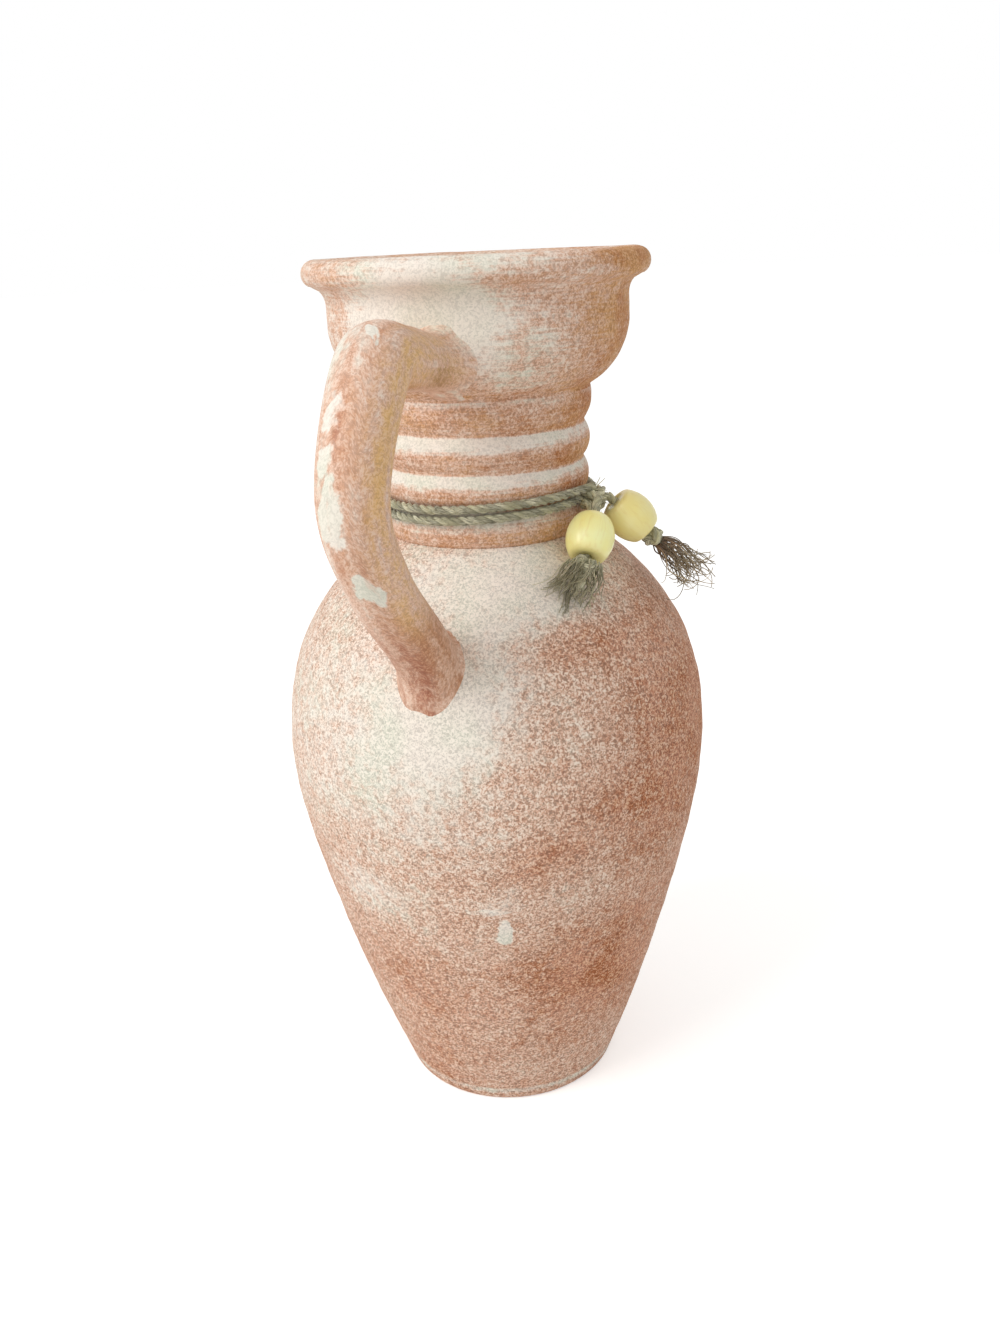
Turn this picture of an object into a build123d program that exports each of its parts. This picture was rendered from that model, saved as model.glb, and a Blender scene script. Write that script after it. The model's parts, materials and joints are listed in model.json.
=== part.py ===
"""One-handled clay jug with a ribbed neck, a cup mouth and a beaded cord tied round the neck.

Millimetres, +Z up. The origin is the centre of the flat base, and the handle is towards -Y.
"""
from build123d import *
import os
from math import cos, hypot, pi, radians, sin, sqrt

# Body: outer radii from the base to the seam under the neck, and how far each is above the one before.
# The slope below the seam lies so far inside the shoulder
FOOT_R = 43.1
LOWER_R, LOWER_RISE = 56.6, 40.0
FLANK_R, FLANK_RISE = 72.7, 60.0
BELLY_R, BELLY_RISE = 79.3, 48.0
SHOULDER_R, SHOULDER_RISE = 69.4, 42.0
SLOPE_IN, SLOPE_RISE = 20.4, 25.0
SEAM_R, SEAM_RISE = 35.6, 10.4
BASE_ROUND = 2.0
WALL = 6.5
FLOOR = 8.0

# Neck: round ribs with narrow grooves between them, a little wider at each rib going up.
# The lowest groove lies a little inside the seam
RIB_COUNT = 4
RIB_PITCH = 12.5
RIB_SWELL = 2.6
RIB_FLARE = 0.5
GROOVE_IN = 1.1
GROOVE_ROUND = 1.2
BORE_R = 28.5

# Mouth: a cup that rises from the top rib and ends in a rolled lip, which stands out from the cup
CUP_FOOT_R = 38.1
CUP_R, CUP_RISE = 51.8, 22.6
CUP_WALL = 6.3
CUP_INNER_DROP = 2.0
THROAT_RISE = 4.8
LIP_OUT = 7.4
LIP_H = 8.2
LIP_FLARE = 6.0
LIP_TUCK = 2.0
LIP_CROWN = 5.6
RIM_RISE = 21.4

# Handle: a pulled oval roll, with its width and thickness at each place on its centre line.
# The root and the top are placed from the cup, the next three each from the one before, the last two from the shoulder
ROOT_IN, ROOT_DROP, ROOT_W, ROOT_T = 21.8, 13.8, 21.5, 14.0
TOP_OUT, TOP_DROP, TOP_W, TOP_T = 24.0, 5.7, 22.0, 19.4
BEND_OUT, BEND_DROP, BEND_W, BEND_T = 18.8, 1.5, 22.4, 20.0
OUTER_OUT, OUTER_DROP, OUTER_W, OUTER_T = 19.0, 31.8, 20.4, 19.6
FALL_IN, FALL_DROP, FALL_W, FALL_T = 13.4, 28.3, 19.3, 19.6
LOW_ROOT_OUT, LOW_ROOT_UP, LOW_ROOT_W, LOW_ROOT_T = 0.8, 8.8, 20.3, 20.1
THUMB_IN, THUMB_DROP, THUMB_W, THUMB_T = 6.5, 14.1, 22.1, 21.5

# Cord: two turns round the lowest groove, tied in a knot, with two knotted and frayed tails
CLEARANCE = 0.3
CORD_D = 3.2
TURN_GAP = 0.5
CORD_TURNS = 2
LATE_CLIMB = 0.25
WINDING_SAG = 0.8
TIE_ANGLE = -8.0
TIE_OUT = 3.0
TIE_RISE = 0.7
TIE_KNOT_D, TIE_KNOT_L, TIE_KNOT_WRAPS = 6.8, 10.4, 3
WRAP_DEPTH = 0.7

# Tails: where each leaves the tie knot (along the neck, outwards, upwards) and the way it points
FRONT_ROOT = (-4.0, 3.6, 0.2)
FRONT_HEADING, FRONT_FALL, FRONT_ROLL = -90.0, 40.2, -35.0
SIDE_ROOT = (3.0, 4.5, 0.2)
SIDE_HEADING, SIDE_FALL, SIDE_ROLL = 23.0, 44.0, 12.0

# Beads and what is below them on each tail
BEAD_D, BEAD_L, BEAD_END_D = 16.6, 15.6, 11.4
BEAD_EDGE = 0.8
FRONT_STEP, SIDE_STEP = 8.6, 3.6
END_KNOT_D, END_KNOT_L, END_KNOT_WRAPS = 8.4, 5.6, 2
STRANDS = 150
STRAND_D, STRAND_TIP_D = 0.3, 0.18
STRAND_SINK = 0.4
STRAND_UNEVEN = 0.2
TUFT_D, TUFT_L, TUFT_RIM = 7.0, 1.2, 0.6
FRONT_TASSEL_L, FRONT_FAN_W, FRONT_FAN_T, FRONT_LIFT = 13.6, 24.0, 8.0, 1.0
SIDE_TASSEL_L, SIDE_FAN_W, SIDE_FAN_T, SIDE_LIFT = 26.0, 18.0, 12.0, -1.0

# Heights and reaches that follow from the sizes above
LOWER_Z = LOWER_RISE
FLANK_Z = LOWER_Z + FLANK_RISE
BELLY_Z = FLANK_Z + BELLY_RISE
SHOULDER_Z = BELLY_Z + SHOULDER_RISE
SLOPE_Z = SHOULDER_Z + SLOPE_RISE
SEAM_Z = SLOPE_Z + SEAM_RISE
SLOPE_R = SHOULDER_R - SLOPE_IN
GROOVE_R = SEAM_R - GROOVE_IN
LIP_R = CUP_R + LIP_OUT
NECK_TOP_Z = SEAM_Z + RIB_COUNT * RIB_PITCH
CUP_Z = NECK_TOP_Z + CUP_RISE
RIM_Z = CUP_Z + RIM_RISE
LIP_LOW_Z = RIM_Z - LIP_H
GROOVE_Z = SEAM_Z + RIB_PITCH
TOP_REACH, TOP_Z = CUP_R + TOP_OUT, CUP_Z - TOP_DROP
BEND_REACH, BEND_Z = TOP_REACH + BEND_OUT, TOP_Z - BEND_DROP
OUTER_REACH, OUTER_Z = BEND_REACH + OUTER_OUT, BEND_Z - OUTER_DROP
FALL_REACH, FALL_Z = OUTER_REACH - FALL_IN, OUTER_Z - FALL_DROP

# What counts as the same place, and how closely the gap between the turns is measured
TOLERANCE = 0.01
POINTS_PER_TURN = 180


def turned(outline):
    """The solid of revolution of a closed outline of radius and height."""
    return revolve(make_face(Plane.XZ * outline), Axis.Z)


def body_outline():
    """The outside of the body from the base to the neck seam."""
    return Spline(
        (FOOT_R, 0),
        (LOWER_R, LOWER_Z),
        (FLANK_R, FLANK_Z),
        (BELLY_R, BELLY_Z),
        (SHOULDER_R, SHOULDER_Z),
        (SLOPE_R, SLOPE_Z),
        (SEAM_R, SEAM_Z),
    )


def body_core():
    """The body as if it were solid clay, with its base edge rounded."""
    side = body_outline()
    ends = Line((SEAM_R, SEAM_Z), (0, SEAM_Z)) + Line((0, SEAM_Z), (0, 0)) + Line((0, 0), (FOOT_R, 0))
    core = turned(side + ends)
    return fillet(core.edges().filter_by(GeomType.CIRCLE).sort_by(Axis.Z)[0], BASE_ROUND)


def body_hollow():
    """The space inside the body: its outline moved in by the wall, above the floor."""
    side = body_outline()
    inner = []
    for radius, height in ((LOWER_R, LOWER_Z), (FLANK_R, FLANK_Z), (BELLY_R, BELLY_Z), (SHOULDER_R, SHOULDER_Z)):
        along = side.tangent_at(side.param_at_point((radius, height)))
        inner.append((radius - WALL * along.Y, height + WALL * along.X))
    floor_r = FOOT_R - WALL
    wall = Spline((floor_r, FLOOR), *inner, (BORE_R, SEAM_Z))
    ends = Line((BORE_R, SEAM_Z), (0, SEAM_Z)) + Line((0, SEAM_Z), (0, FLOOR)) + Line((0, FLOOR), (floor_r, FLOOR))
    return turned(wall + ends)


def groove_radius(index):
    """Radius of the groove below rib number index, counted up from the seam."""
    return SEAM_R if index == 0 else GROOVE_R + RIB_FLARE * (index - 1)


def crest_radius(index):
    """Radius of the crest of rib number index."""
    return GROOVE_R + RIB_SWELL + RIB_FLARE * (index - 0.5)


def neck_core():
    """Neck and mouth as if they were solid clay: ribs, cup and rolled lip."""
    side = None
    for rib in range(RIB_COUNT):
        low = SEAM_Z + rib * RIB_PITCH
        top_r = CUP_FOOT_R if rib == RIB_COUNT - 1 else groove_radius(rib + 1)
        crest = (crest_radius(rib), low + RIB_PITCH / 2)
        arc = ThreePointArc((groove_radius(rib), low), crest, (top_r, low + RIB_PITCH))
        side = arc if side is None else side + arc
    cup = TangentArc((CUP_R, CUP_Z), (CUP_FOOT_R, NECK_TOP_Z), tangent=(0, -1))
    waist_z = LIP_LOW_Z - LIP_FLARE
    under_lip = (LIP_R - LIP_TUCK, LIP_LOW_Z)
    crown = (LIP_R - LIP_CROWN, RIM_Z)
    side += cup + Line((CUP_R, CUP_Z), (CUP_R, waist_z))
    side += TangentArc((CUP_R, waist_z), under_lip, tangent=(0, 1))
    side += ThreePointArc(under_lip, (LIP_R, LIP_LOW_Z + LIP_H / 2), crown)
    ends = Line(crown, (0, RIM_Z)) + Line((0, RIM_Z), (0, SEAM_Z)) + Line((0, SEAM_Z), (SEAM_R, SEAM_Z))
    face = make_face(side + ends)
    in_groove = [
        v
        for v in face.vertices()
        for rib in range(1, RIB_COUNT)
        if hypot(v.X - groove_radius(rib), v.Y - SEAM_Z - rib * RIB_PITCH) < TOLERANCE
    ]
    return revolve(Plane.XZ * fillet(in_groove, GROOVE_ROUND), Axis.Z)


def neck_hollow():
    """The throat and the inside of the cup, rounded over to the crown of the lip."""
    mouth_r = CUP_R - CUP_WALL
    throat_z = NECK_TOP_Z - THROAT_RISE
    cup_z = CUP_Z - CUP_INNER_DROP
    crown = (LIP_R - LIP_CROWN, RIM_Z)
    wall = Line((BORE_R, SEAM_Z), (BORE_R, throat_z))
    wall += TangentArc((mouth_r, cup_z), (BORE_R, throat_z), tangent=(0, -1))
    wall += Line((mouth_r, cup_z), (mouth_r, LIP_LOW_Z))
    wall += TangentArc((mouth_r, LIP_LOW_Z), crown, tangent=(0, 1))
    ends = Line(crown, (0, RIM_Z)) + Line((0, RIM_Z), (0, SEAM_Z)) + Line((0, SEAM_Z), (BORE_R, SEAM_Z))
    return turned(wall + ends)


def handle_roll():
    """The pulled roll, from inside the cup's wall to the thumbed end sunk in the shoulder."""
    stations = (
        (CUP_R - ROOT_IN, CUP_Z - ROOT_DROP, ROOT_W, ROOT_T),
        (TOP_REACH, TOP_Z, TOP_W, TOP_T),
        (BEND_REACH, BEND_Z, BEND_W, BEND_T),
        (OUTER_REACH, OUTER_Z, OUTER_W, OUTER_T),
        (FALL_REACH, FALL_Z, FALL_W, FALL_T),
        (SHOULDER_R + LOW_ROOT_OUT, SHOULDER_Z + LOW_ROOT_UP, LOW_ROOT_W, LOW_ROOT_T),
        (SHOULDER_R - THUMB_IN, SHOULDER_Z - THUMB_DROP, THUMB_W, THUMB_T),
    )
    line = Plane.YZ * Spline(*[(-reach, height) for reach, height, width, thickness in stations])
    ovals = []
    for reach, height, width, thickness in stations:
        at = line.param_at_point((0, -reach, height))
        across = Plane(line.position_at(at), x_dir=(1, 0, 0), z_dir=line.tangent_at(at))
        ovals.append(across * Ellipse(width / 2, thickness / 2))
    return loft(ovals)


def rib_seat(crest_r, from_crest):
    """Radius of a turn of cord that lies on a rib's flank, so far above or below its crest."""
    flank_r = (RIB_PITCH**2 / 4 + RIB_SWELL**2) / (2 * RIB_SWELL)
    reach = flank_r + CORD_D / 2 + CLEARANCE
    return crest_r - flank_r + sqrt(reach**2 - from_crest**2)


TURN_STEP = CORD_D + TURN_GAP
WINDING_Z = GROOVE_Z - WINDING_SAG
LOWER_TURN = rib_seat(crest_radius(0), RIB_PITCH / 2 - WINDING_SAG - TURN_STEP / 2)
UPPER_TURN = rib_seat(crest_radius(1), RIB_PITCH / 2 + WINDING_SAG - TURN_STEP / 2)
WINDING_R = max(LOWER_TURN, UPPER_TURN)
TIE_R = WINDING_R + TIE_OUT
TIE_Z = WINDING_Z + TIE_RISE
OUTWARD = Vector(cos(radians(TIE_ANGLE)), sin(radians(TIE_ANGLE)), 0)
ALONG = Vector(-OUTWARD.Y, OUTWARD.X, 0)
TIE = OUTWARD * TIE_R + Vector(0, 0, TIE_Z)


def biarc(start, leaving, end, arriving):
    """Two tangent arcs from start to end that leave and arrive along the given directions."""
    span = end - start
    a = 2 * (leaving.dot(arriving) - 1)
    b = -2 * span.dot(leaving + arriving)
    reach = (-b - sqrt(b * b - 4 * a * span.dot(span))) / (2 * a)
    middle = (start + leaving * reach + end - arriving * reach) / 2
    first = TangentArc(start, middle, tangent=leaving)
    second = TangentArc(middle, end, tangent=first.tangent_at(1))
    return [first, second]


def winding_height(quarter):
    """Height of the cord after so many quarter turns: each turn climbs to the next behind the tie knot."""
    late = LATE_CLIMB if quarter and quarter % 4 == 0 else 0
    return WINDING_Z + TURN_STEP * (quarter // 4 - CORD_TURNS / 4 - late)


def winding_route():
    """The cord from the tie knot, round the neck and back to the knot, as arcs of a quarter turn."""
    quarters = 4 * CORD_TURNS
    entry = ALONG * (TIE_KNOT_D / 2 - WRAP_DEPTH)
    at_tie = OUTWARD * TIE_R
    out_end = at_tie + entry + Vector(0, 0, winding_height(0))
    back_end = at_tie - entry + Vector(0, 0, winding_height(quarters))
    stops = [(out_end + ALONG * CORD_D, ALONG)]
    for quarter in range(1, quarters):
        angle = radians(TIE_ANGLE + 90 * quarter)
        climb = 0 if quarter % 4 else TURN_STEP / (pi * WINDING_R)
        spot = Vector(WINDING_R * cos(angle), WINDING_R * sin(angle), winding_height(quarter))
        stops.append((spot, Vector(-sin(angle), cos(angle), climb).normalized()))
    stops.append((back_end - ALONG * CORD_D, ALONG))
    edges = [Line(out_end, stops[0][0])]
    for (start, leaving), (end, arriving) in zip(stops, stops[1:]):
        edges += biarc(start, leaving, end, arriving)
    edges.append(Line(stops[-1][0], back_end))
    return Wire(edges)


def least_gap(route):
    """The narrowest space between two turns of the winding, from points along its route."""
    count = POINTS_PER_TURN * CORD_TURNS
    points = [route.position_at(i / count) for i in range(count + 1)]
    apart = count // (2 * CORD_TURNS)
    pairs = ((p, q) for i, p in enumerate(points) for q in points[i + apart :])
    return min((p - q).length for p, q in pairs) - CORD_D


def tube(route):
    """A cord of the full thickness along a route."""
    return sweep(Plane(route.position_at(0), z_dir=route.tangent_at(0)) * Circle(CORD_D / 2), route)


def wrapped_knot(length, size, wraps):
    """A tight knot standing on the origin along Z: rounded wraps of cord, one on another."""
    waist = size / 2 - WRAP_DEPTH
    step = length / wraps
    side = Line((0, 0), (waist, 0))
    for wrap in range(wraps):
        low = wrap * step
        side += ThreePointArc((waist, low), (size / 2, low + step / 2), (waist, low + step))
    return turned(side + Line((waist, length), (0, length)) + Line((0, length), (0, 0)))


def bead():
    """A barrel bead standing on the origin along Z, bored to run on the cord."""
    bore = CORD_D / 2 + CLEARANCE
    end = BEAD_END_D / 2
    barrel = ThreePointArc((end, 0), (BEAD_D / 2, BEAD_L / 2), (end, BEAD_L))
    ends = Line((end, BEAD_L), (bore, BEAD_L)) + Line((bore, BEAD_L), (bore, 0)) + Line((bore, 0), (end, 0))
    solid = turned(barrel + ends)
    rims = solid.edges().filter_by(lambda e: abs(e.length - pi * BEAD_END_D) < TOLERANCE)
    return fillet(rims, BEAD_EDGE)


def tassel(length, width, depth, lift):
    """The frayed end of a tail along Z: loose strands that fan out of a slice of the cord."""
    tuft = TUFT_D / 2 - TUFT_RIM
    strands = []
    for index in range(STRANDS):
        turn = index * pi * (3 - sqrt(5))
        across = tuft * sqrt((index + 0.5) / STRANDS)
        x, y = across * cos(turn), across * sin(turn)
        cut = 1 - STRAND_UNEVEN + STRAND_UNEVEN * sin(index * index)
        tip = (x * width / TUFT_D, y * depth / TUFT_D + lift, length)
        root = Vector(x, y, TUFT_L - STRAND_SINK)
        end = root + (Vector(*tip) - root) * cut
        low = Plane(root) * RegularPolygon(STRAND_D / 2, 3)
        high = Plane(end) * RegularPolygon(STRAND_TIP_D / 2, 3)
        strands.append(loft([low, high], ruled=True))
    slice_of_cord = Cylinder(TUFT_D / 2, TUFT_L, align=(Align.CENTER, Align.CENTER, Align.MIN))
    return slice_of_cord.fuse(*strands)


def tail_frame(root, heading, fall, roll):
    """The frame of a tail: origin where it leaves the tie knot, Z along it."""
    along, out, up = root
    spot = TIE + ALONG * along + OUTWARD * out + Vector(0, 0, up)
    turn, drop = radians(heading), radians(fall)
    way = Vector(cos(drop) * cos(turn), cos(drop) * sin(turn), -sin(drop))
    level = Vector(-sin(turn), cos(turn), 0)
    return Plane(spot, x_dir=level.rotate(Axis((0, 0, 0), way), roll), z_dir=way)


def tail_pieces(name, frame, bead_at, *fan):
    """One tail of the cord: the cord itself, its bead, the knot that stops it and the frayed end."""
    knot_at = bead_at + BEAD_L + CLEARANCE
    tuft_at = knot_at + END_KNOT_L
    cord = Sphere(CORD_D / 2) + Cylinder(CORD_D / 2, knot_at, align=(Align.CENTER, Align.CENTER, Align.MIN))
    place = frame.location
    return {
        name + "_tail": place * cord,
        name + "_bead": place * Pos(0, 0, bead_at) * bead(),
        name + "_end_knot": place * Pos(0, 0, knot_at) * wrapped_knot(END_KNOT_L, END_KNOT_D, END_KNOT_WRAPS),
        name + "_tassel": place * Pos(0, 0, tuft_at) * tassel(*fan),
    }


body_clay = body_core()
neck_clay = neck_core()
route = winding_route()
tie_knot = Pos(TIE - Vector(0, 0, TIE_KNOT_L / 2)) * wrapped_knot(TIE_KNOT_L, TIE_KNOT_D, TIE_KNOT_WRAPS)
neck_cord = tube(route)
front = tail_frame(FRONT_ROOT, FRONT_HEADING, FRONT_FALL, FRONT_ROLL)
side = tail_frame(SIDE_ROOT, SIDE_HEADING, SIDE_FALL, SIDE_ROLL)
pieces = {
    "body": body_clay - body_hollow(),
    "neck": neck_clay - neck_hollow(),
    "handle": handle_roll() - body_clay - neck_clay,
    "neck_cord": neck_cord,
    "tie_knot": tie_knot,
    **tail_pieces("front", front, FRONT_STEP, FRONT_TASSEL_L, FRONT_FAN_W, FRONT_FAN_T, FRONT_LIFT),
    **tail_pieces("side", side, SIDE_STEP, SIDE_TASSEL_L, SIDE_FAN_W, SIDE_FAN_T, SIDE_LIFT),
}

print("winding: length %.1f, least gap %.2f" % (route.length, least_gap(route)))
print("winding: volume %.0f, section by length %.0f" % (neck_cord.volume, pi * CORD_D**2 / 4 * route.length))
print("arc radii:", [round(e.radius, 1) for e in route.edges().filter_by(GeomType.CIRCLE)])
print("tail roots:", front.origin, side.origin, "ways:", front.z_dir, side.z_dir, "tie axis:", ALONG)

os.makedirs("parts", exist_ok=True)
for node, solid in pieces.items():
    export_step(solid, "parts/%s.step" % node)
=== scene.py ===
# %% [markdown]
# # A lime-washed clay jug with a beaded cord
#
# The object is a thrown earthenware jug with one pulled handle. Two turns of jute cord lie in the lowest
# groove of its ribbed neck and are tied at the side. Each tail of the cord carries a wooden bead, a stopper
# knot and a frayed end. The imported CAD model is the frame: it gives every size and place. This lesson dresses
# it with thrown clay, a worn lime wash, twisted cord and lacquered beads.

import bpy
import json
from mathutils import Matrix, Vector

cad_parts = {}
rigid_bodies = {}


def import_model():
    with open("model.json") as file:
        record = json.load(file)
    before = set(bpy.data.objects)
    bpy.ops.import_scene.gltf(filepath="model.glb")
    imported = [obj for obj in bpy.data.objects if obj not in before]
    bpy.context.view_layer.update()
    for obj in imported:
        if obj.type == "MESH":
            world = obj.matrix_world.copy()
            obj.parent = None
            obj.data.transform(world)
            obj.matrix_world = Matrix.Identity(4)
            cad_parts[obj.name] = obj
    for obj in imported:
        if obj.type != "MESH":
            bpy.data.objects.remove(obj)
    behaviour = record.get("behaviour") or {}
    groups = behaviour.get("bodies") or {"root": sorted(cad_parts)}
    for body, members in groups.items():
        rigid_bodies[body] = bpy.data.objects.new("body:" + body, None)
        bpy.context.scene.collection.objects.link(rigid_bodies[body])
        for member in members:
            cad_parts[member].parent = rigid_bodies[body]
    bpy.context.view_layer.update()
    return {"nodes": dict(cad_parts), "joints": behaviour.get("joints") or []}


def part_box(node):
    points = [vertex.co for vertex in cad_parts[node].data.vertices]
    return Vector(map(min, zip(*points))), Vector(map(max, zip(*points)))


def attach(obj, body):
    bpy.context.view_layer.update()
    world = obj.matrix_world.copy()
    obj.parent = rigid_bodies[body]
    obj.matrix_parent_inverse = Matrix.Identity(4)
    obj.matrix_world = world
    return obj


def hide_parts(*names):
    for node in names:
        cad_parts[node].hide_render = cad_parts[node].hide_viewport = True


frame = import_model()

# %% Tools and units
import json
import math
import random

import bpy
import numpy as np
from mathutils import Matrix, Vector
from mathutils.bvhtree import BVHTree

MM = 0.001

# %% [markdown]
# ## Camera
#
# The photograph was taken from a little above the jug and close to it, with the handle turned to the left. A
# wide lens near the object makes the mouth look large and the foot small, so the lens and the distance matter
# as much as the angle. The camera also leaned a little, which the roll repeats.

# %% Camera
CAMERA_TURN = math.radians(18.5)
CAMERA_REACH = 410.54 * MM
CAMERA_HEIGHT = 322.92 * MM
CAMERA_PITCH = math.radians(20.513)
CAMERA_YAW = math.radians(0.28)
CAMERA_ROLL = math.radians(2.594)
CAMERA_LENS = 30.72
SENSOR_HEIGHT = 36.0

bpy.ops.object.select_all(action="DESELECT")
bpy.ops.object.camera_add()
camera = bpy.context.object
camera.name = "photo_camera"
camera.data.sensor_fit = "VERTICAL"
camera.data.sensor_height = SENSOR_HEIGHT
camera.data.lens = CAMERA_LENS
standing = (CAMERA_REACH * math.sin(CAMERA_TURN), -CAMERA_REACH * math.cos(CAMERA_TURN), CAMERA_HEIGHT)
camera.matrix_world = (
    Matrix.Translation(standing)
    @ Matrix.Rotation(CAMERA_TURN - CAMERA_YAW, 4, "Z")
    @ Matrix.Rotation(math.pi / 2 - CAMERA_PITCH, 4, "X")
    @ Matrix.Rotation(-CAMERA_ROLL, 4, "Z")
)
bpy.context.scene.camera = camera
bpy.context.scene.view_settings.view_transform = "Standard"
print("camera stands at", [round(value, 3) for value in standing])

# %% [markdown]
# ## Colours and shader nodes
#
# Colours are written as the sRGB hex values that a colour picker shows, and shaders want linear light, so one
# function converts them. Another small function adds a node, sets its options and values, and links the
# sockets it is given. That keeps each finish readable from top to bottom. Most patterns here are clouds of a
# known size that are stretched between two levels, and most colours are layers, so these have helpers too.

# %% Helpers for finishes
# A colour Mix node has several sockets of one name, so these are given by number.
MIX_BY, MIX_A, MIX_B, MIX_OUT = 0, 6, 7, 2
SMOOTH = {"interpolation_type": "SMOOTHSTEP"}


def linear(text):
    """A hex colour such as #C98F6E as linear red, green, blue and full opacity."""
    parts = [int(text[at : at + 2], 16) / 255 for at in (1, 3, 5)]
    return (*[part / 12.92 if part <= 0.04045 else ((part + 0.055) / 1.055) ** 2.4 for part in parts], 1.0)


def add(tree, kind, inputs=(), output=0, **settings):
    """Adds one shader node with its settings, values and links, and returns the output asked for."""
    made = tree.nodes.new("ShaderNode" + kind)
    for key, value in settings.items():
        setattr(made, key, value)
    for key, value in dict(inputs).items():
        if isinstance(value, bpy.types.NodeSocket):
            tree.links.new(value, made.inputs[key])
        else:
            made.inputs[key].default_value = value
    return made.outputs[output] if len(made.outputs) else None


def new_finish(name):
    """An empty material and its node tree."""
    finish = bpy.data.materials.new(name)
    finish.use_nodes = True
    finish.node_tree.nodes.clear()
    return finish, finish.node_tree


# %% Levels, clouds and layers
def span(low, high, at_low=0.0, at_high=1.0):
    """The values of a Map Range node: two levels, and what it gives at each."""
    return {"From Min": low, "From Max": high, "To Min": at_low, "To Max": at_high}


def cloudy(tree, spot, size, levels, **grain):
    """A cloud pattern of one size, stretched between levels."""
    cloud = add(tree, "TexNoise", {"Vector": spot, "Scale": 1 / size, **grain})
    return add(tree, "MapRange", {"Value": cloud, **levels})


def layered(tree, base, *layers):
    """Colours laid over a base in turn, each by its own share. A colour is a hex value or a socket."""
    for share, colour in layers:
        under, over = [linear(part) if isinstance(part, str) else part for part in (base, colour)]
        base = add(tree, "Mix", {MIX_BY: share, MIX_A: under, MIX_B: over}, MIX_OUT, data_type="RGBA")
    return base


# %% [markdown]
# ## Stage
#
# The jug stands on plain white, as on a photographer's table. The world and the floor look white to the
# camera and to reflections, but light the clay only softly. The floor stays a diffuse surface, so it keeps
# the jug's shadow. One large lamp from the upper left gives the soft shade across the belly that the
# photograph has.

# %% White world
WORLD_LIGHT = 0.66


def seen_directly(tree):
    """1 for a ray that comes from the camera, from gloss or through glass, and 0 for light on the clay."""
    rays = tree.nodes.new("ShaderNodeLightPath")
    seen = rays.outputs["Is Camera Ray"]
    for kind in ("Is Glossy Ray", "Is Transmission Ray"):
        seen = add(tree, "Math", {0: seen, 1: rays.outputs[kind]}, operation="MAXIMUM")
    return seen


world = bpy.data.worlds.new("white_room")
bpy.context.scene.world = world
world.use_nodes = True
tree = world.node_tree
tree.nodes.clear()
strength = add(tree, "MapRange", {"Value": seen_directly(tree), **span(0.0, 1.0, WORLD_LIGHT, 1.0)})
sky = add(tree, "Background", {"Color": linear("#FFFFFF"), "Strength": strength})
add(tree, "OutputWorld", {"Surface": sky})
print("world: white to the eye, %.2f as light" % WORLD_LIGHT)

# %% Floor and lamp
# The stage is in metres.
FLOOR_SIZE = 12.0
FLOOR_SIDES = 96
FLOOR_GLOW = 0.45
KEY_POWER = 12.5
KEY_SIZE = 0.9
KEY_SPOT = Vector((-0.75, -0.95, 1.15))
KEY_AIM = Vector((0.0, 0.0, 0.17))

bpy.ops.object.select_all(action="DESELECT")
bpy.ops.mesh.primitive_circle_add(vertices=FLOOR_SIDES, radius=FLOOR_SIZE, fill_type="NGON")
floor = bpy.context.object
floor.name = "white_table"
table_finish, tree = new_finish("white_table_paper")
glow = add(tree, "Math", {0: seen_directly(tree), 1: FLOOR_GLOW}, operation="MULTIPLY")
paper = add(tree, "BsdfDiffuse", {"Color": linear("#F4F3F1")})
lit = add(tree, "Emission", {"Color": linear("#FFFFFF"), "Strength": glow})
both = add(tree, "AddShader", {0: paper, 1: lit})
add(tree, "OutputMaterial", {"Surface": both})
floor.data.materials.append(table_finish)

bpy.ops.object.light_add(type="AREA", location=KEY_SPOT)
key = bpy.context.object
key.name = "window_light"
key.data.energy = KEY_POWER
key.data.size = KEY_SIZE
key.rotation_euler = (KEY_AIM - KEY_SPOT).to_track_quat("-Z", "Y").to_euler()
print("stage: floor, white world and one soft lamp")

# %% [markdown]
# ## The outline of the clay
#
# Every later step needs to know where the clay's skin is: the new body and neck follow it, the handle is
# smeared onto it and the frayed ends lie on it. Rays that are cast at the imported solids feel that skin, from
# outside and from the axis, so no size has to be copied by hand.

# %% Feel the clay
SCAN_SIDES = 12
SCAN_SHIFT = 0.3
SCAN_START = 200 * MM
SKIN_STEP = 1.0 * MM
EDGE = 0.05 * MM


def solid_tree(node):
    """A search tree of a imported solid's faces."""
    mesh = frame["nodes"][node].data
    return BVHTree.FromPolygons([v.co for v in mesh.vertices], [tuple(p.vertices) for p in mesh.polygons])


def felt_radius(tree, height, inside=False):
    """Distance of a wall's outside, or of its inside, from the axis at one height."""
    found = []
    for side in range(SCAN_SIDES):
        turn = 2 * math.pi * (side + SCAN_SHIFT) / SCAN_SIDES
        way = Vector((math.cos(turn), math.sin(turn), 0))
        level = Vector((0, 0, height))
        spot = tree.ray_cast(level, way)[0] if inside else tree.ray_cast(level + way * SCAN_START, -way)[0]
        found.append(spot.to_2d().length)
    return max(found)


# %% The clay's radius by height
body_tree = solid_tree("body")
neck_tree = solid_tree("neck")
SEAM_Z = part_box("body")[1].z
RIM_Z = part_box("neck")[1].z


def felt_wall(height, inside=False):
    """Radius of the body below the seam, and of the neck above it."""
    return felt_radius(body_tree if height < SEAM_Z else neck_tree, height, inside)


skin_heights = np.arange(EDGE, RIM_Z - EDGE, SKIN_STEP)
skin_radii = np.array([felt_wall(z) for z in skin_heights])
inner_radii = np.array([felt_wall(z, inside=True) for z in skin_heights])


def clay_radius(height):
    """Outer radius of the clay at a height or at many heights."""
    return np.interp(height, skin_heights, skin_radii)


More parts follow.
